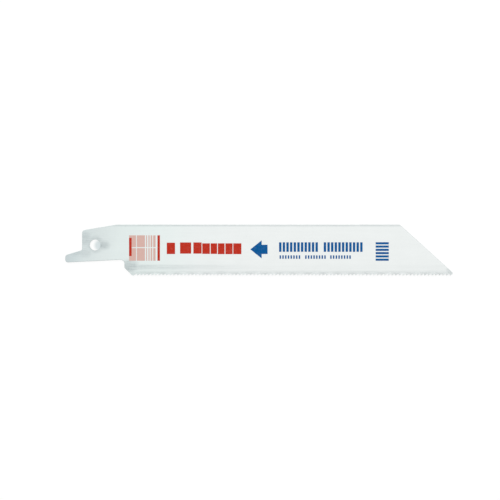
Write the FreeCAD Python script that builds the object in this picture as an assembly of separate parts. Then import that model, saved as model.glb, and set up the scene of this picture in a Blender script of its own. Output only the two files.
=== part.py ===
import FreeCAD, Part
import math
import os
from FreeCAD import Vector

# Reciprocating saw blade for cutting metal, with a half-inch tang. One piece of strip steel, blanked to
# its outline, with milled teeth pressed into a wavy set. Lengths in millimetres, angles in degrees.
#
# The origin is the centre of the tang's locking hole, on the mid-plane of the strip. +X runs from the
# tang to the nose, +Y from the teeth to the back edge, and +Z out of the printed side.

# Strip
OVERALL_LENGTH = 150.0  # end of the tail to the nose
BLADE_HEIGHT = 19.7  # back edge to tooth tips
THICKNESS = 0.9
HOLE_BELOW_BACK = 7.9
EDGE_BREAK = 0.15  # chamfer left by deburring the blanked edges

# Tang
TANG_WIDTH = 12.7  # across the locking hole
TANG_ABOVE_HOLE = 6.5
TANG_TOP_SLOPE = 9.6
TANG_FOOT_SLOPE = 2.8
TANG_END_TO_HOLE = 5.0
TANG_CORNER_RADIUS = 1.2
SHOULDER_RADIUS = 12.0
LOCKING_HOLE_DIAMETER = 4.2

# Tail, the tongue under the notch at the end of the tang
TAIL_LENGTH = 6.5
TAIL_END_HEIGHT = 2.8
TAIL_TOP_SLOPE = 17.0
TAIL_CORNER_RADIUS = 1.0
NOTCH_RADIUS = 0.8

# Heel, where the strip comes down to the first tooth
HOLE_TO_HEEL = 11.4
HEEL_CHAMFER = 3.0
HEEL_CORNER_RADIUS = 0.9
HEEL_FILLET = 1.5

# Nose
NOSE_ANGLE = 42.2  # from the blade's length
NOSE_LAND = 1.2  # upright stretch at the tip
NOSE_CORNER_RADIUS = 0.8
NOSE_TIP_RADIUS = 0.5

# Teeth, which cut on the pull stroke, towards the tang
TEETH_PER_INCH = 18
CLEARANCE_ANGLE = 30.0
GULLET_RADIUS = 0.25
TIP_FLAT = 0.05
LAST_TOOTH_TO_NOSE = 0.9

# Wavy set
TEETH_PER_WAVE = 4
SET_TO_EACH_SIDE = 0.22
SET_PAST_GULLETS = 0.7  # how far past the gullets the strip is bent

INCH = 25.4
SAME_PLACE = 1e-6
CUT_MARGIN = 2.0  # how far a cutter stands out of the steel
SAMPLES_PER_WAVE = 4  # points that shape each wave of the set
MOST_OF_SIDE = 0.98  # what the rounds at the two ends of a side may take of it
MOST_OF_HEEL = 0.7  # what the chamfer may take of the heel's drop

# Tooth form: a straight clearance slope, a round gullet tangent to it, and an upright rake face
tooth_pitch = INCH / TEETH_PER_INCH
wave_length = TEETH_PER_WAVE * tooth_pitch
clearance = math.radians(CLEARANCE_ANGLE)
gullet_depth = (
    GULLET_RADIUS
    + (tooth_pitch - TIP_FLAT - GULLET_RADIUS) * math.tan(clearance)
    - GULLET_RADIUS / math.cos(clearance)
)

# Places along Y
back_y = HOLE_BELOW_BACK
tip_y = back_y - BLADE_HEIGHT
gullet_y = tip_y + gullet_depth
bend_y = gullet_y + SET_PAST_GULLETS

# Places along X
tang_end_x = -TANG_END_TO_HOLE
tail_x = tang_end_x - TAIL_LENGTH
nose_x = tail_x + OVERALL_LENGTH
heel_x = HOLE_TO_HEEL


def tang_top_at(x):
    """Height of the tang's sloping upper edge, which passes over the hole."""
    return TANG_ABOVE_HOLE + x * math.tan(math.radians(TANG_TOP_SLOPE))


def tang_foot_at(x):
    """Height of the tang's lower edge, which passes under the hole."""
    return TANG_ABOVE_HOLE - TANG_WIDTH + x * math.tan(math.radians(TANG_FOOT_SLOPE))


# The heel's chamfer, and the row of teeth between it and the nose
heel_chamfer = min(HEEL_CHAMFER, MOST_OF_HEEL * (tang_foot_at(heel_x) - tip_y))
last_tooth_x = nose_x - LAST_TOOTH_TO_NOSE
tooth_count = int((last_tooth_x - heel_x - heel_chamfer) / tooth_pitch)
first_tooth_x = last_tooth_x - (tooth_count - 1) * tooth_pitch


def line(start, end):
    return Part.LineSegment(start, end).toShape()


def on_circle(centre, radius, angle):
    return centre + Vector(math.cos(angle), math.sin(angle), 0) * radius


def prism(outline, thickness):
    """The outline, a flat closed wire, carried half the thickness to each side of the strip's mid-plane."""
    solid = Part.Face(outline).extrude(Vector(0, 0, thickness))
    solid.translate(Vector(0, 0, -thickness / 2))
    return solid


def rounded_outline(corners):
    """Closed wire through (x, y, radius) corners. Rounds with too little room on a side get smaller."""
    count = len(corners)
    places = [Vector(x, y, 0) for x, y, radius in corners]
    sides = [places[(i + 1) % count] - places[i] for i in range(count)]
    along = [Vector(side).normalize() for side in sides]
    half_angles = [along[i].getAngle(-along[i - 1]) / 2 for i in range(count)]
    wanted = [corners[i][2] / math.tan(half_angles[i]) for i in range(count)]
    taken = [wanted[i] + wanted[(i + 1) % count] + SAME_PLACE for i in range(count)]
    room = [min(1, MOST_OF_SIDE * sides[i].Length / taken[i]) for i in range(count)]
    reaches = [wanted[i] * min(room[i - 1], room[i]) for i in range(count)]
    starts = [places[i] - along[i - 1] * reaches[i] for i in range(count)]
    ends = [places[i] + along[i] * reaches[i] for i in range(count)]
    edges = []
    for i in range(count):
        if reaches[i] > 0:
            bulge = reaches[i] / math.cos(half_angles[i]) - reaches[i] * math.tan(half_angles[i])
            middle = places[i] + (along[i] - along[i - 1]).normalize() * bulge
            edges.append(Part.Arc(starts[i], middle, ends[i]).toShape())
        edges.append(line(ends[i], starts[(i + 1) % count]))
    return Part.Wire(edges)


def blank(thickness):
    """The strip cut to the blade's whole outline, down to the line of the tooth tips."""
    tail_foot_y = tang_foot_at(tail_x)
    tail_top_y = tail_foot_y + TAIL_END_HEIGHT
    notch_y = tail_top_y + TAIL_LENGTH * math.tan(math.radians(TAIL_TOP_SLOPE))
    shoulder_x = (back_y - TANG_ABOVE_HOLE) / math.tan(math.radians(TANG_TOP_SLOPE))
    land_top_y = tip_y + NOSE_LAND
    nose_run = (back_y - land_top_y) / math.tan(math.radians(NOSE_ANGLE))
    outline = rounded_outline([
        (tail_x, tail_foot_y, TAIL_CORNER_RADIUS),
        (tail_x, tail_top_y, TAIL_CORNER_RADIUS),
        (tang_end_x, notch_y, NOTCH_RADIUS),
        (tang_end_x, tang_top_at(tang_end_x), TANG_CORNER_RADIUS),
        (shoulder_x, back_y, SHOULDER_RADIUS),
        (nose_x - nose_run, back_y, NOSE_CORNER_RADIUS),
        (nose_x, land_top_y, NOSE_TIP_RADIUS),
        (nose_x, tip_y, 0),
        (heel_x + heel_chamfer, tip_y, 0),
        (heel_x, tip_y + heel_chamfer, HEEL_CORNER_RADIUS),
        (heel_x, tang_foot_at(heel_x), HEEL_FILLET),
    ])
    return prism(outline, thickness)


def flat_plate():
    """All above the bend line: tang, body and nose, deburred round the outline and pierced for the lock."""
    plate = blank(THICKNESS)
    rims = [edge for edge in plate.Edges if edge.BoundBox.ZLength < SAME_PLACE]
    plate = plate.makeChamfer(EDGE_BREAK, rims)
    below_bend = Part.makeBox(
        OVERALL_LENGTH + 2 * CUT_MARGIN,
        bend_y - tip_y + CUT_MARGIN,
        THICKNESS + 2 * CUT_MARGIN,
        Vector(tail_x - CUT_MARGIN, tip_y - CUT_MARGIN, -THICKNESS / 2 - CUT_MARGIN),
    )
    hole = Part.makeCylinder(LOCKING_HOLE_DIAMETER / 2, THICKNESS, Vector(0, 0, -THICKNESS / 2))
    return plate.cut([below_bend, hole])


def set_at(x):
    """Sideways lean of the strip's lower edge: a sine along the teeth, which dies away at both ends."""
    to_row_end = max(min(x - first_tooth_x, last_tooth_x - x), 0)
    fade = min(to_row_end / wave_length, 1)
    return SET_TO_EACH_SIDE * fade * math.sin(2 * math.pi * (last_tooth_x - x) / wave_length)


def set_curve(start_x, end_x):
    """Curve of the printed face's lower edge after setting. Its parameter is x."""
    step = wave_length / SAMPLES_PER_WAVE
    first = math.floor((start_x - last_tooth_x) / step)
    last = math.ceil((end_x - last_tooth_x) / step)
    places = [last_tooth_x + i * step for i in range(first, last + 1)]
    points = [Vector(x, tip_y, THICKNESS / 2 + set_at(x)) for x in places]
    curve = Part.BSplineCurve()
    curve.interpolate(Points=points, Parameters=places)
    return curve


def gullet(tooth_x, thickness):
    """What is milled out in front of a tooth, between the last tip's flat and this tooth's rake face."""
    start = Vector(tooth_x - tooth_pitch + TIP_FLAT, tip_y, 0)
    centre = Vector(tooth_x - GULLET_RADIUS, gullet_y - GULLET_RADIUS, 0)
    slope_side = math.pi / 2 + clearance
    slope_end = on_circle(centre, GULLET_RADIUS, slope_side)
    rake_top = on_circle(centre, GULLET_RADIUS, 0)
    tip = Vector(tooth_x, tip_y, 0)
    outline = Part.Wire([
        line(start, slope_end),
        Part.Arc(slope_end, on_circle(centre, GULLET_RADIUS, slope_side / 2), rake_top).toShape(),
        line(rake_top, tip),
        line(tip, start),
    ])
    return prism(outline, thickness)


def tooth_edge():
    """The strip below the bend line, set and milled, as one piece for each wave of the set."""
    cutter_thickness = THICKNESS + 2 * CUT_MARGIN
    trimmed = blank(cutter_thickness)
    last_end_x = last_tooth_x + wave_length - tooth_pitch / 2
    wave_count = math.ceil((last_end_x - heel_x) / wave_length)
    curve = set_curve(last_end_x - wave_count * wave_length, last_end_x)
    tooth_places = [first_tooth_x + i * tooth_pitch for i in range(tooth_count + 1)]
    waves = []
    for i in range(wave_count):
        end_x = last_end_x - i * wave_length
        start_x = end_x - wave_length
        lower = curve.copy()
        lower.segment(start_x, end_x)
        upper = line(Vector(start_x, bend_y, THICKNESS / 2), Vector(end_x, bend_y, THICKNESS / 2))
        face = Part.makeRuledSurface(upper, lower.toShape())
        wave = face.extrude(Vector(0, 0, -THICKNESS)).common(trimmed)
        for x in tooth_places:
            if start_x < x < end_x + tooth_pitch:
                wave = wave.cut(gullet(x, cutter_thickness))
        waves.append(wave)
    return waves


def blade():
    """The finished blade, one solid."""
    return flat_plate().fuse(tooth_edge()).removeSplitter()


os.makedirs("parts", exist_ok=True)
blade().exportStep("parts/blade.step")
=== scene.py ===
import bmesh
import bpy
import numpy as np
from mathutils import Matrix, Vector


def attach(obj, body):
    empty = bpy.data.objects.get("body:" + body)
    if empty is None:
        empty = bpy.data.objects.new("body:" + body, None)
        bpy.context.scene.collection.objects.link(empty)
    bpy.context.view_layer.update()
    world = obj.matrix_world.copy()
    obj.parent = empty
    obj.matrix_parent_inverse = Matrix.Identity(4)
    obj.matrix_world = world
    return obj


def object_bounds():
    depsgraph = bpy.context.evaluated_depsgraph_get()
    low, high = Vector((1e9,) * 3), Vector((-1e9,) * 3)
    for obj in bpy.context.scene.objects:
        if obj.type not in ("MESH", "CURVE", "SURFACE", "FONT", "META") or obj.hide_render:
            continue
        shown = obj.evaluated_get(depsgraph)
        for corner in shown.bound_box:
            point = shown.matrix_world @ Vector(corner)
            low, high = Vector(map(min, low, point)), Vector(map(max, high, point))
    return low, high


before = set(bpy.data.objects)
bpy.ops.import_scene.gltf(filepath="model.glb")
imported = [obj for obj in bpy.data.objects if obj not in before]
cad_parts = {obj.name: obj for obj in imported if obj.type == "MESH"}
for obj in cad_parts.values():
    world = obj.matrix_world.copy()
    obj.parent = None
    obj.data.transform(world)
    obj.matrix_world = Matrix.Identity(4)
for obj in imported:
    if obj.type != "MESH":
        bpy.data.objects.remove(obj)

cad_box = [list(corner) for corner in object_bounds()]

# The blade: one piece of strip steel, blanked, milled and set, then sprayed white all over and stoved.
# Its shape is the frame's own. The coat is drawn greyer towards the tail, on the cut walls and edges and in
# a band above the teeth, and shade is painted into it round and beside the locking hole.

MM = 0.001  # sizes and places are written in millimetres
(tail_x, tip_y, lowest_z), (nose_x, back_y, _) = np.array(cad_box) / MM
NOISE_LOW, NOISE_HIGH = 0.3, 0.7  # nearly all the values of a noise lie between these
FINE_SHARE = 0.7  # how strong a rough noise's finer octaves are, each next to the coarser one before it
MIX_A, MIX_B, MIX_RESULT = 6, 7, 2  # a Mix node's sockets for colours

# The grey that the coat is mixed towards, for its greyer marks and for the shade painted by the locking hole
GREY_AND_SHADE = "A6B1B3"
COAT_ON_TAIL = "C6D1D3"
COAT_ON_BODY = "EFF3F2"
FULL_COAT_FROM = 72.0  # from the tail's end
COAT_BETWEEN = (  # the coat's colours on the way, at shares of that length
    (0.05, "CFDBDC"),
    (0.10, "DAE4E4"),
    (0.20, "E0E9E8"),
    (0.34, "E3EDEB"),
    (0.50, "E8F1EF"),
    (0.72, "EDF2F1"),
)
CLOUD_SIZE, CLOUD_OCTAVES = 6.0, 3
STREAK_LENGTH, STREAK_WIDTH, STREAK_OCTAVES = 20.0, 0.6, 2
CLOUD_TONES = (0.975, 1.015)  # how bright the darkest and the palest clouds and streaks leave the coat
PEEL_SIZE, PEEL_OCTAVES = 0.8, 2
PEEL_DEPTH = 0.012
COAT_ROUGHNESS, GREYED_ROUGHNESS = 0.36, 0.5
COAT_IOR = 1.5

# Grey marks and painted shade. For faces and bands: where it is gone, where it is strongest, and its strength
WALLS_AND_RIMS = (0.95, 0.5, 0.75)  # by how far a face looks up or down, from 0 for an upright wall to 1
BACK_EDGE = (back_y - 1.0, back_y - 0.3, 0.38)
TOOTH_EDGE = (tip_y + 2.4, tip_y + 1.0, 0.28)
# A greyer band above the teeth, strongest near the heel and fading along the blade
GREY_BAND_Y = tip_y + 3.2
GREY_BAND = (1.4, 0.5)  # distances from that line
BAND_START, BAND_END = (12.0, 0.36), (64.0, 0.04)  # places along the blade, and the strength there
# Spots: the place, how many times longer than high, half heights inside which the grey is strongest and
# outside which it is gone, and its strength
GREY_AND_SHADE_SPOTS = (
    ((13.2, -8.3), 1.5, 0.8, 3.5, 0.68),  # the heel's corner
    ((0.1, 0.4), 1.0, 2.2, 4.4, 0.42),  # round the locking hole: painted shade round its rim
    ((3.0, 0.0), 1.4, 0.5, 2.9, 0.58),  # beside the hole on its right: painted shade
    ((-3.9, 2.4), 1.0, 0.8, 4.5, 0.46),  # the tang's end
    ((-2.0, 5.0), 1.0, 3.0, 13.0, 0.14),  # the upper half of the tang
    ((-7.0, -2.2), 1.3, 0.6, 3.2, 0.34),  # the notch over the tail
    ((-3.8, -3.0), 1.3, 0.8, 2.9, 0.30),  # below the notch
    ((nose_x - 0.9, tip_y + 1.8), 1.0, 0.6, 2.4, 0.50),  # the nose's tip
)
GRAIN_SIZE, GRAIN_OCTAVES = 0.8, 4
GRAIN_STRENGTHS = (0.75, 1.2)  # how far the grain weakens and strengthens the grey
# Rubs run along the blade, the way it goes into its holder and through a cut
SCUFF_LENGTH, SCUFF_WIDTH, SCUFF_OCTAVES = 5.0, 0.15, 3
SCUFF_STRENGTHS = (0.5, 1.5)


def linear(hex_colour):
    """An sRGB colour such as "EFF3F2" as linear red, green, blue and alpha. Dark channels are divided by
    12.92, and the others are raised to the power 2.4 after 0.055 is added and the sum divided by 1.055."""
    channels = np.array([int(hex_colour[i:i + 2], 16) for i in (0, 2, 4)]) / 255
    low = channels / 12.92
    high = ((channels + 0.055) / 1.055) ** 2.4
    return (*np.where(channels <= 0.04045, low, high), 1.0)


def add(tree, kind, inputs=None, **settings):
    """Adds one node with its own settings. An input is a value, or another node's output to link."""
    node = tree.nodes.new("ShaderNode" + kind)
    for name, value in settings.items():
        setattr(node, name, value)
    for key, value in (inputs or {}).items():
        if isinstance(value, bpy.types.NodeSocket):
            tree.links.new(value, node.inputs[key])
        else:
            node.inputs[key].default_value = value
    return node


def empty_material(name):
    """A new material with no nodes in it yet, and its node tree."""
    material = bpy.data.materials.new(name)
    material.use_nodes = True
    material.node_tree.nodes.clear()
    return material, material.node_tree


def place_in_mm(tree):
    """The place on the object, from metres to millimetres."""
    metres = add(tree, "TexCoord").outputs["Object"]
    return add(tree, "VectorMath", {0: metres, 1: (1 / MM, 1 / MM, 1 / MM)}, operation="MULTIPLY").outputs[0]


def sprayed_coat(tree, mm, x):
    """The coat's colour: its stops along the blade, times a tone that follows the sum of two noises. The
    coat gets greyer and cooler along the tang, towards the tail's end. Faint clouds lie where
    the passes of the spray meet, and streaks run the way the strip was rolled."""
    along = add(tree, "MapRange", {
        "Value": x,
        "From Min": tail_x,
        "From Max": tail_x + FULL_COAT_FROM,
    })
    coat = add(tree, "ValToRGB", {0: along.outputs[0]})
    stops = coat.color_ramp.elements
    stops[0].color = linear(COAT_ON_TAIL)
    stops[1].color = linear(COAT_ON_BODY)
    for position, colour in COAT_BETWEEN:
        stops.new(position).color = linear(colour)
    cloud = add(tree, "TexNoise", {"Vector": mm, "Scale": 1 / CLOUD_SIZE, "Detail": CLOUD_OCTAVES})
    streak_scale = (1 / STREAK_LENGTH, 1 / STREAK_WIDTH, 1)
    streak_place = add(tree, "VectorMath", {0: mm, 1: streak_scale}, operation="MULTIPLY")
    streak = add(tree, "TexNoise", {"Vector": streak_place.outputs[0], "Scale": 1, "Detail": STREAK_OCTAVES})
    both = add(tree, "Math", {0: cloud.outputs[0], 1: streak.outputs[0]}, operation="ADD")
    tone = add(tree, "MapRange", {
        "Value": both.outputs[0],
        "From Min": 2 * NOISE_LOW,
        "From Max": 2 * NOISE_HIGH,
        "To Min": CLOUD_TONES[0],
        "To Max": CLOUD_TONES[1],
    })
    clouded = add(tree, "VectorMath", {0: coat.outputs[0], "Scale": tone.outputs[0]}, operation="SCALE")
    return clouded.outputs[0]


def grey_and_painted_shade(tree, mm, x, y):
    """How far the coat is drawn towards grey, from 0 to 1, in greyer marks and in painted shade. Each face,
    band and spot gives its strength times a smooth step of its distance. The strongest counts, times the rubs
    and times the grain."""
    # The cut walls and deburred rims face away from +Z and -Z, and are drawn greyer than the faces
    facing = add(tree, "NewGeometry").outputs["True Normal"]
    upright = add(tree, "SeparateXYZ", {0: facing}).outputs["Z"]
    flatness = add(tree, "Math", {0: upright}, operation="ABSOLUTE").outputs[0]
    above_band = add(tree, "Math", {0: y, 1: GREY_BAND_Y}, operation="SUBTRACT").outputs[0]
    off_band = add(tree, "Math", {0: above_band}, operation="ABSOLUTE").outputs[0]
    band_strength = add(tree, "MapRange", {
        "Value": x,
        "From Min": BAND_START[0],
        "From Max": BAND_END[0],
        "To Min": BAND_START[1],
        "To Max": BAND_END[1],
    })
    grey_places = [
        (flatness, *WALLS_AND_RIMS),
        (y, *BACK_EDGE),
        (y, *TOOTH_EDGE),
        (off_band, *GREY_BAND, band_strength.outputs[0]),
    ]
    flat_place = add(tree, "VectorMath", {0: mm, 1: (1, 1, 0)}, operation="MULTIPLY").outputs[0]
    for (spot_x, spot_y), stretch, full, gone, most in GREY_AND_SHADE_SPOTS:
        shrunk = add(tree, "VectorMath", {0: flat_place, 1: (1 / stretch, 1, 1)}, operation="MULTIPLY")
        centre = (spot_x / stretch, spot_y, 0)
        away = add(tree, "VectorMath", {0: shrunk.outputs[0], 1: centre}, operation="DISTANCE")
        grey_places.append((away.outputs["Value"], gone, full, most))
    patches = [
        add(tree, "MapRange", {
            "Value": value,
            "From Min": gone,
            "From Max": full,
            "To Max": most,
        }, interpolation_type="SMOOTHSTEP").outputs[0]
        for value, gone, full, most in grey_places
    ]
    strongest = patches[0]
    for patch in patches[1:]:
        strongest = add(tree, "Math", {0: strongest, 1: patch}, operation="MAXIMUM").outputs[0]

    scuff_scale = (1 / SCUFF_LENGTH, 1 / SCUFF_WIDTH, 1)
    scuff_place = add(tree, "VectorMath", {0: mm, 1: scuff_scale}, operation="MULTIPLY")
    scuff = add(tree, "TexNoise", {"Vector": scuff_place.outputs[0], "Scale": 1, "Detail": SCUFF_OCTAVES})
    rubbed = add(tree, "MapRange", {
        "Value": scuff.outputs[0],
        "From Min": NOISE_LOW,
        "From Max": NOISE_HIGH,
        "To Min": SCUFF_STRENGTHS[0],
        "To Max": SCUFF_STRENGTHS[1],
    })
    with_rubs = add(tree, "Math", {0: strongest, 1: rubbed.outputs[0]}, operation="MULTIPLY").outputs[0]
    grain = add(tree, "TexNoise", {
        "Vector": mm,
        "Scale": 1 / GRAIN_SIZE,
        "Detail": GRAIN_OCTAVES,
        "Roughness": FINE_SHARE,
    })
    uneven = add(tree, "MapRange", {
        "Value": grain.outputs[0],
        "From Min": NOISE_LOW,
        "From Max": NOISE_HIGH,
        "To Min": GRAIN_STRENGTHS[0],
        "To Max": GRAIN_STRENGTHS[1],
    })
    greying = add(tree, "Math", {0: with_rubs, 1: uneven.outputs[0]}, operation="MULTIPLY", use_clamp=True)
    return greying.outputs[0]


def white_enamel():
    """Stoved enamel, sprayed on steel: soft gloss with the trace of orange peel that the oven leaves, drawn
    grey and duller by the mask of greyer marks and painted shade."""
    material, tree = empty_material("white_enamel_on_steel")
    mm = place_in_mm(tree)
    xyz = add(tree, "SeparateXYZ", {0: mm}).outputs
    greying = grey_and_painted_shade(tree, mm, xyz["X"], xyz["Y"])
    # The coat mixed towards grey: its greyer marks, and the shade painted round and beside the locking hole
    colour = add(tree, "Mix", {
        0: greying,
        MIX_A: sprayed_coat(tree, mm, xyz["X"]),
        MIX_B: linear(GREY_AND_SHADE),
    }, data_type="RGBA")
    dullness = add(tree, "MapRange", {
        "Value": greying,
        "To Min": COAT_ROUGHNESS,
        "To Max": GREYED_ROUGHNESS,
    })
    peel = add(tree, "TexNoise", {"Vector": mm, "Scale": 1 / PEEL_SIZE, "Detail": PEEL_OCTAVES})
    bump = add(tree, "Bump", {"Strength": 1, "Distance": PEEL_DEPTH * MM, "Height": peel.outputs[0]})
    shader = add(tree, "BsdfPrincipled", {
        "Base Color": colour.outputs[MIX_RESULT],
        "Roughness": dullness.outputs[0],
        "IOR": COAT_IOR,
        "Normal": bump.outputs[0],
    })
    add(tree, "OutputMaterial", {0: shader.outputs[0]})
    return material


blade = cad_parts["blade"]
blade.data.materials.clear()
blade.data.materials.append(white_enamel())

# The pale fields of the panel beside the tang: screen ink on the enamel of the upper side, in a red let
# down with white. They are printed first, as a plain grid. Every patch of ink is a thin closed layer, whose
# underside lies a hair inside the enamel so that no gap shows.

STRIP_THICKNESS = 0.9
INK_THICKNESS = 0.03
INK_SUNK = 0.01
INK_RIM = 0.05  # how far in from its edge the ink is at its full thickness
RIM_STEPS = np.array([0, 0.05, 0.2, 0.5, 1.0])  # shares of that, closest together where the rim is steepest
INK_ROUGHNESS = (0.5, 0.65)  # from where the ink is thickest to where it is thinnest
INK_IOR = 1.5
INK_GLOSS = 0.05  # as a specular level, of which bare enamel has 0.5
MOTTLE_SIZE, MOTTLE_OCTAVES = 1.1, 5
MOTTLE_FROM, MOTTLE_TO = 0.5, 0.8  # the noise's values where the ink starts to thin, and where it is thinnest
MOTTLE_MOST = 0.05  # how much of the coat shows through it there
PINHOLE_FROM, PINHOLE_TO = 0.68, 0.84  # the same for the pinholes, where the threads kept ink off
PINHOLE_MOST = 0.12
THREAD_SPACING = 0.2  # of the screen, drawn coarser than the real 0.1 so that it can show
THREAD_MARK_DEPTH = 0.003
MERGE_DISTANCE = 0.0001

INK_PALE_RED = "DAB5AB"
PALE_THICKNESS = 0.02
PALE_COLUMNS = (  # left and right
    (13.2, 15.9),
    (16.2, 19.35),
    (19.8, 20.2),
    (20.7, 21.15),
    (21.55, 22.2),
    (22.55, 23.45),
)
PALE_ROWS = ((-6.1, -1.2), (-0.85, 3.75))  # bottom and top


def ink_patch(corners, middle=None, thickness=INK_THICKNESS):
    """A closed layer of ink inside straight sides, spread from a middle point that sees all the corners.
    Its top rises over the rim by a quarter circle and then runs level to the middle. Below it is the same
    grid of points laid flat. The corners run anticlockwise."""
    outline = np.array(corners, dtype=float)
    if middle is None:
        middle = outline.mean(axis=0)
    to_middle = middle - outline
    share = np.append(RIM_STEPS * INK_RIM / np.linalg.norm(to_middle, axis=-1).mean(), 1)
    rise = np.append(np.sqrt(1 - (1 - RIM_STEPS) ** 2), 1)
    across = outline + to_middle * share[:, None, None]
    rows, columns = across.shape[:2]
    underside_z = STRIP_THICKNESS / 2 - INK_SUNK
    top_z = underside_z + np.repeat(rise, columns) * (thickness + INK_SUNK)
    flat = across.reshape(-1, 2)
    top = np.column_stack([flat, top_z])
    underside = np.column_stack([flat, np.full_like(top_z, underside_z)])
    corner = np.arange(rows * columns).reshape(rows, columns)
    beside = np.roll(corner, -1, axis=1)
    faces = np.stack([corner[:-1], beside[:-1], beside[1:], corner[1:]], -1).reshape(-1, 4)
    return np.concatenate([top, underside]) * MM, np.concatenate([faces, faces[:, ::-1] + len(top)])


def ink_bar(left, right, bottom, top, thickness=INK_THICKNESS):
    """A patch of ink with four sides, two along the blade and two across it."""
    return ink_patch([(left, bottom), (right, bottom), (right, top), (left, top)], thickness=thickness)


def screen_ink(name, hex_colour):
    """Screen ink, dried flat: duller than the enamel, a little uneven in strength, with the mesh's trace and
    a few pinholes where the threads kept ink off."""
    material, tree = empty_material(name)
    mm = place_in_mm(tree)
    mottle = add(tree, "TexNoise", {
        "Vector": mm,
        "Scale": 1 / MOTTLE_SIZE,
        "Detail": MOTTLE_OCTAVES,
        "Roughness": FINE_SHARE,
    })
    thin = add(tree, "MapRange", {
        "Value": mottle.outputs[0],
        "From Min": MOTTLE_FROM,
        "From Max": MOTTLE_TO,
        "To Max": MOTTLE_MOST,
    })
    threads = add(tree, "TexNoise", {"Vector": mm, "Scale": 1 / THREAD_SPACING, "Detail": 0})
    pinholes = add(tree, "MapRange", {
        "Value": threads.outputs[0],
        "From Min": PINHOLE_FROM,
        "From Max": PINHOLE_TO,
        "To Max": PINHOLE_MOST,
    })
    bare = add(tree, "Math", {0: thin.outputs[0], 1: pinholes.outputs[0]}, operation="MAXIMUM")
    colour = add(tree, "Mix", {
        0: bare.outputs[0],
        MIX_A: linear(hex_colour),
        MIX_B: linear(COAT_ON_BODY),
    }, data_type="RGBA")
    dullness = add(tree, "MapRange", {
        "Value": mottle.outputs[0],
        "To Min": INK_ROUGHNESS[0],
        "To Max": INK_ROUGHNESS[1],
    })
    bump = add(tree, "Bump", {
        "Strength": 1,
        "Distance": THREAD_MARK_DEPTH * MM,
        "Height": threads.outputs[0],
    })
    shader = add(tree, "BsdfPrincipled", {
        "Base Color": colour.outputs[MIX_RESULT],
        "Roughness": dullness.outputs[0],
        "IOR": INK_IOR,
        "Specular IOR Level": INK_GLOSS,
        "Normal": bump.outputs[0],
    })
    add(tree, "OutputMaterial", {0: shader.outputs[0]})
    return material


def printed(name, patches, material):
    """One piece of print, from patches of ink whose points that lie together are merged."""
    starts = np.cumsum([0] + [len(points) for points, faces in patches])
    mesh = bpy.data.meshes.new(name)
    mesh.from_pydata(
        np.concatenate([points for points, faces in patches]),
        [],
        np.concatenate([faces + start for (points, faces), start in zip(patches, starts)]),
    )
    merged = bmesh.new()
    merged.from_mesh(mesh)
    bmesh.ops.remove_doubles(merged, verts=merged.verts, dist=MERGE_DISTANCE * MM)
    merged.to_mesh(mesh)
    merged.free()
    mesh.materials.append(material)
    piece = bpy.data.objects.new(name, mesh)
    bpy.context.scene.collection.objects.link(piece)
    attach(piece, "root")


pale_fields = [ink_bar(*column, *row, PALE_THICKNESS) for column in PALE_COLUMNS for row in PALE_ROWS]
printed("print_pale_fields", pale_fields, screen_ink("pale_red_screen_ink", INK_PALE_RED))

# The red bars at the two sides of the panel: the same kind of screen ink, in the full red. The left one is
# printed over the pale fields, and the right one stands beside them.

INK_RED = "BE2F1C"
PANEL_BARS = (  # left, right, bottom, top
    (13.2, 14.2, -4.3, 2.8),
    (24.2, 25.15, -6.1, 3.75),
)

red_ink = screen_ink("red_screen_ink", INK_RED)
printed("print_red_bars", [ink_bar(*bar) for bar in PANEL_BARS], red_ink)

# The red blocks along the middle of the blade, in the same ink as the bars: one that stands apart, then
# a run of seven close together.

RED_BLOCKS = (  # left, right, bottom, top
    (27.8, 31.0, -3.5, 0.9),
    (32.95, 37.25, -3.35, 1.0),
    (38.1, 41.3, -3.35, 1.0),
    (41.55, 44.5, -3.45, 0.65),
    (44.8, 47.3, -3.45, 0.65),
    (47.6, 50.2, -3.55, 0.65),
    (50.5, 53.3, -3.55, 0.65),
    (53.55, 56.7, -3.55, 0.65),
)

printed("print_red_blocks", [ink_bar(*block) for block in RED_BLOCKS], red_ink)

# The blue arrow shows which way the blade cuts: on the pull, towards the tang. It is screen ink too, and
# the gauge and the rungs after it are printed with the same screen.

INK_BLUE = "005796"
ARROW_TIP = np.array([60.15, -1.7])
HEAD_LENGTH, HEAD_HEIGHT = 4.4, 7.0
SHAFT_LENGTH, SHAFT_HEIGHT = 2.3, 3.6
ARROW_MIDDLE = 3.9  # from the tip, a little inside the head's base, so that it sees all the corners

blue_ink = screen_ink("blue_screen_ink", INK_BLUE)
lower_half = np.array([
    (0, 0),
    (HEAD_LENGTH, -HEAD_HEIGHT / 2),
    (HEAD_LENGTH, -SHAFT_HEIGHT / 2),
    (HEAD_LENGTH + SHAFT_LENGTH, -SHAFT_HEIGHT / 2),
])
upper_half = lower_half[:0:-1] * (1, -1)
arrow_outline = ARROW_TIP + np.concatenate([lower_half, upper_half])
arrow = ink_patch(arrow_outline, ARROW_TIP + (ARROW_MIDDLE, 0))
printed("print_blue_arrow", [arrow], blue_ink)

# The blue gauge: bars at the pitch of the teeth, in two groups, by which a worn blade's pitch is matched,
# and below them three groups of bars at 24 to the inch.

INCH = 25.4
TOOTH_PITCH = INCH / 18
GAUGE_BAR = 0.93
GAUGE_BOTTOM, GAUGE_TOP = -2.65, 1.05
GAUGE_GROUPS = ((71.3, 11), (88.6, 11))  # where each starts, and its number of bars
FINE_PITCH = INCH / 24
FINE_BAR = 0.57
FINE_BOTTOM, FINE_TOP = -5.35, -4.0
FINE_GROUPS = ((71.5, 8), (81.4, 8), (91.1, 8))


def row_of_bars(groups, pitch, width, bottom, top):
    """Upright bars of one width at one pitch, in groups given by where they start and how many they have."""
    return [
        ink_bar(start + i * pitch, start + i * pitch + width, bottom, top)
        for start, count in groups
        for i in range(count)
    ]


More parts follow.
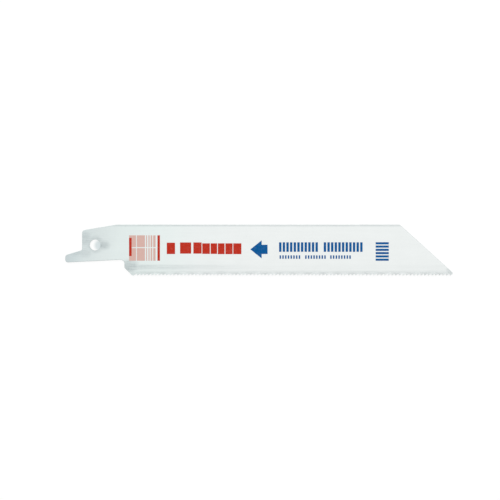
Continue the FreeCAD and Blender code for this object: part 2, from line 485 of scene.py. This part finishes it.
gauge = row_of_bars(GAUGE_GROUPS, TOOTH_PITCH, GAUGE_BAR, GAUGE_BOTTOM, GAUGE_TOP)
fine_gauge = row_of_bars(FINE_GROUPS, FINE_PITCH, FINE_BAR, FINE_BOTTOM, FINE_TOP)
printed("print_blue_gauge", gauge + fine_gauge, blue_ink)

# The blue rungs before the nose: the last of the print from the blue screen, six bars laid along the
# blade, at 20 to the inch.

RUNG_LEFT, RUNG_RIGHT = 108.7, 113.8
LOWEST_RUNG = -6.1
RUNG_COUNT = 6
RUNG_PITCH = INCH / 20
RUNG_WIDTH = 0.82

rung_bottoms = LOWEST_RUNG + RUNG_PITCH * np.arange(RUNG_COUNT)
rungs = [ink_bar(RUNG_LEFT, RUNG_RIGHT, bottom, bottom + RUNG_WIDTH) for bottom in rung_bottoms]
printed("print_blue_rungs", rungs, blue_ink)

# The floor: matt white board, on which the blade lies flat. The camera sees it as plain white but for the
# blade's own faint shadow.

FLOOR_SIZE = 6000.0
BOARD_BRIGHTNESS = 1.03  # a little over white, so that it stays white with light to spare
SHADOW_DEPTH = 0.16  # the share of it that a shadow can take away
BOARD_GREY = 0.8  # what the blade gets back from the board
HOLE_SHADE = "D2DCDE"  # of the board under the locking hole, where the strip shades it
HOLE_SHADE_PLACE = (1.7, -0.2)
HOLE_SHADE_FROM, HOLE_SHADE_TO = 1.2, 2.8  # how far from there the shade starts to fade, and is gone


def seen_directly(tree):
    """1 for rays that come straight from the camera, off a gloss or through glass, and 0 for others."""
    path = add(tree, "LightPath").outputs
    camera_or_gloss = add(tree, "Math", {
        0: path["Is Camera Ray"],
        1: path["Is Glossy Ray"],
    }, operation="MAXIMUM")
    any_of_them = add(tree, "Math", {
        0: camera_or_gloss.outputs[0],
        1: path["Is Transmission Ray"],
    }, operation="MAXIMUM")
    return any_of_them.outputs[0]


def white_board():
    """Matt white board, evenly lit. To the camera it is a steady white glow and a small share that the light
    on it gives, which is all that a shadow can take away. To the blade it is plain pale board."""
    material, tree = empty_material("white_board")
    from_hole = add(tree, "VectorMath", {
        0: add(tree, "TexCoord").outputs["Object"],
        1: np.array([*HOLE_SHADE_PLACE, lowest_z]) * MM,
    }, operation="DISTANCE")
    shade = add(tree, "MapRange", {
        "Value": from_hole.outputs["Value"],
        "From Min": HOLE_SHADE_TO * MM,
        "From Max": HOLE_SHADE_FROM * MM,
    }, interpolation_type="SMOOTHSTEP")
    colour = add(tree, "Mix", {
        0: shade.outputs[0],
        MIX_A: linear("FFFFFF"),
        MIX_B: linear(HOLE_SHADE),
    }, data_type="RGBA")
    glow = add(tree, "Emission", {
        "Color": colour.outputs[MIX_RESULT],
        "Strength": BOARD_BRIGHTNESS - SHADOW_DEPTH,
    })
    lit = add(tree, "BsdfDiffuse", {"Color": (SHADOW_DEPTH, SHADOW_DEPTH, SHADOW_DEPTH, 1)})
    seen_as = add(tree, "AddShader", {0: lit.outputs[0], 1: glow.outputs[0]})
    lights_as = add(tree, "BsdfDiffuse", {"Color": (BOARD_GREY, BOARD_GREY, BOARD_GREY, 1)})
    board = add(tree, "MixShader", {0: seen_directly(tree), 1: lights_as.outputs[0], 2: seen_as.outputs[0]})
    add(tree, "OutputMaterial", {0: board.outputs[0]})
    return material


floor_mesh = bpy.data.meshes.new("floor")
floor_corners = np.array([[-1, -1], [1, -1], [1, 1], [-1, 1]]) * FLOOR_SIZE / 2
floor_points = np.column_stack([floor_corners, np.full(4, lowest_z)]) * MM
floor_mesh.from_pydata(floor_points, [], [[0, 1, 2, 3]])
floor_mesh.materials.append(white_board())
floor = bpy.data.objects.new("floor", floor_mesh)
bpy.context.scene.collection.objects.link(floor)

# Studio light: an even white surround, and one large soft lamp. The lamp stands over the blade's back edge
# and is aimed at the line through the middle of the locking hole.

SURROUND_LEVEL = 0.66
LAMP_SIZE = 1800.0
LAMP_PLACE = Vector((60.0, 700.0, 750.0))
LAMP_TARGET = Vector((LAMP_PLACE.x, 0, 0))
LAMP_WATTS = 8.7

world = bpy.data.worlds.new("white_studio")
world.use_nodes = True
world.node_tree.nodes.clear()
level = add(world.node_tree, "MapRange", {"Value": seen_directly(world.node_tree), "To Min": SURROUND_LEVEL})
surround = add(world.node_tree, "Background", {"Color": linear("FFFFFF"), "Strength": level.outputs[0]})
add(world.node_tree, "OutputWorld", {0: surround.outputs[0]})
bpy.context.scene.world = world

softbox_light = bpy.data.lights.new("softbox", "AREA")
softbox_light.shape = "SQUARE"
softbox_light.size = LAMP_SIZE * MM
softbox_light.energy = LAMP_WATTS
softbox = bpy.data.objects.new("softbox", softbox_light)
softbox.location = LAMP_PLACE * MM
softbox.rotation_euler = (LAMP_TARGET - LAMP_PLACE).to_track_quat("-Z", "Y").to_euler()
softbox.visible_camera = False
bpy.context.scene.collection.objects.link(softbox)

# The camera looks straight down on the blade through a long lens, as the photograph was taken. It is as far
# off as the lens needs for the whole width of the view.

VIEW_WIDTH = 193.67  # what the photograph's width spans at the blade
VIEW_CENTRE = (60.04, -1.94)
LENS = 100.0
SENSOR = 36.0

camera_data = bpy.data.cameras.new("camera")
camera_data.lens = LENS
camera_data.sensor_width = SENSOR
camera = bpy.data.objects.new("camera", camera_data)
camera.location = np.array([*VIEW_CENTRE, STRIP_THICKNESS / 2 + VIEW_WIDTH * LENS / SENSOR]) * MM
bpy.context.scene.collection.objects.link(camera)
bpy.context.scene.camera = camera
bpy.context.scene.view_settings.view_transform = "Standard"
